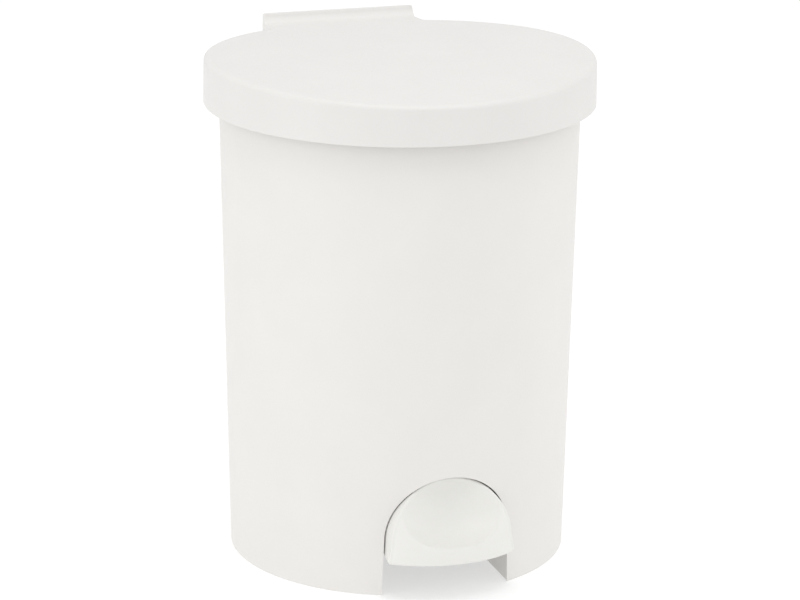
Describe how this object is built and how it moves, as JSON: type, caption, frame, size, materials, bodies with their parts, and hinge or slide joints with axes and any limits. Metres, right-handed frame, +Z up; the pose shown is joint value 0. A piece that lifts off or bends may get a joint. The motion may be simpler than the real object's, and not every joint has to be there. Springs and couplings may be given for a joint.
{
  "type": "pedal trash can",
  "caption": "Round pedal bin with a tapered plastic body, a hinged arched lid, an inner bucket, and a toe pedal that lifts the lid through a lever and push rod.",
  "frame": {"origin": "on the floor, at the middle of the whole object's footprint", "axes": "+Z up; -Y is the front, where the pedal is; the lid's hinge is at +Y; +X is to the right seen from the front"},
  "size_m": [0.2626, 0.2796, 0.3429],
  "materials": {
    "white_plastic": "fine satin grain",
    "pedal_plastic": "fine satin grain",
    "liner_plastic": "smooth satin",
    "nylon": "smooth",
    "rubber": "matt",
    "steel": "zinc plated wire",
    "lever_steel": "zinc plated sheet"
  },
  "bodies": {
    "bin": {"outer_body": "white_plastic", "hinge_pin": "steel", "pedal_axle": "steel", "axle_clip_left": "lever_steel", "axle_clip_right": "lever_steel", "rod_guide_lower": "nylon", "rod_guide_upper": "nylon", "inner_bucket": "liner_plastic"},
    "lid": {"lid": "white_plastic", "lid_buffer_front": "rubber", "lid_buffer_left": "rubber", "lid_buffer_right": "rubber"},
    "pedal": {"pedal": "pedal_plastic", "pedal_lever": "lever_steel", "pedal_screw_front": "steel", "pedal_screw_rear": "steel"},
    "push_rod": {"push_rod": "steel", "rod_roller": "nylon", "rod_clip_top": "lever_steel", "rod_clip_bottom": "lever_steel"},
    "handle": {"bucket_handle": "steel", "handle_grip": "nylon"}
  },
  "joints": [
    {"name": "lid_hinge", "type": "hinge", "parent": "bin", "child": "lid", "pos_m": [0, 0.1278, 0.328], "axis": [-1, 0, 0], "range_deg": [0, 72]},
    {"name": "pedal_pivot", "type": "hinge", "parent": "bin", "child": "pedal", "pos_m": [0, -0.0582, 0.035], "axis": [1, 0, 0], "range_deg": [0, 14.8]},
    {"name": "push_rod_slide", "type": "slide", "parent": "bin", "child": "push_rod", "axis": [0, 0, 1], "range_m": [0, 0.041]},
    {"name": "handle_swing", "type": "hinge", "parent": "bin", "child": "handle", "pos_m": [0, -0.0062, 0.299], "axis": [-1, 0, 0], "range_deg": [0, 15]}
  ],
  "couplings": [
    {"joint": "pedal_pivot", "follows": "lid_hinge", "ratio": 0.20548},
    {"joint": "push_rod_slide", "follows": "lid_hinge", "m_per_rad": 0.032609}
  ]
}
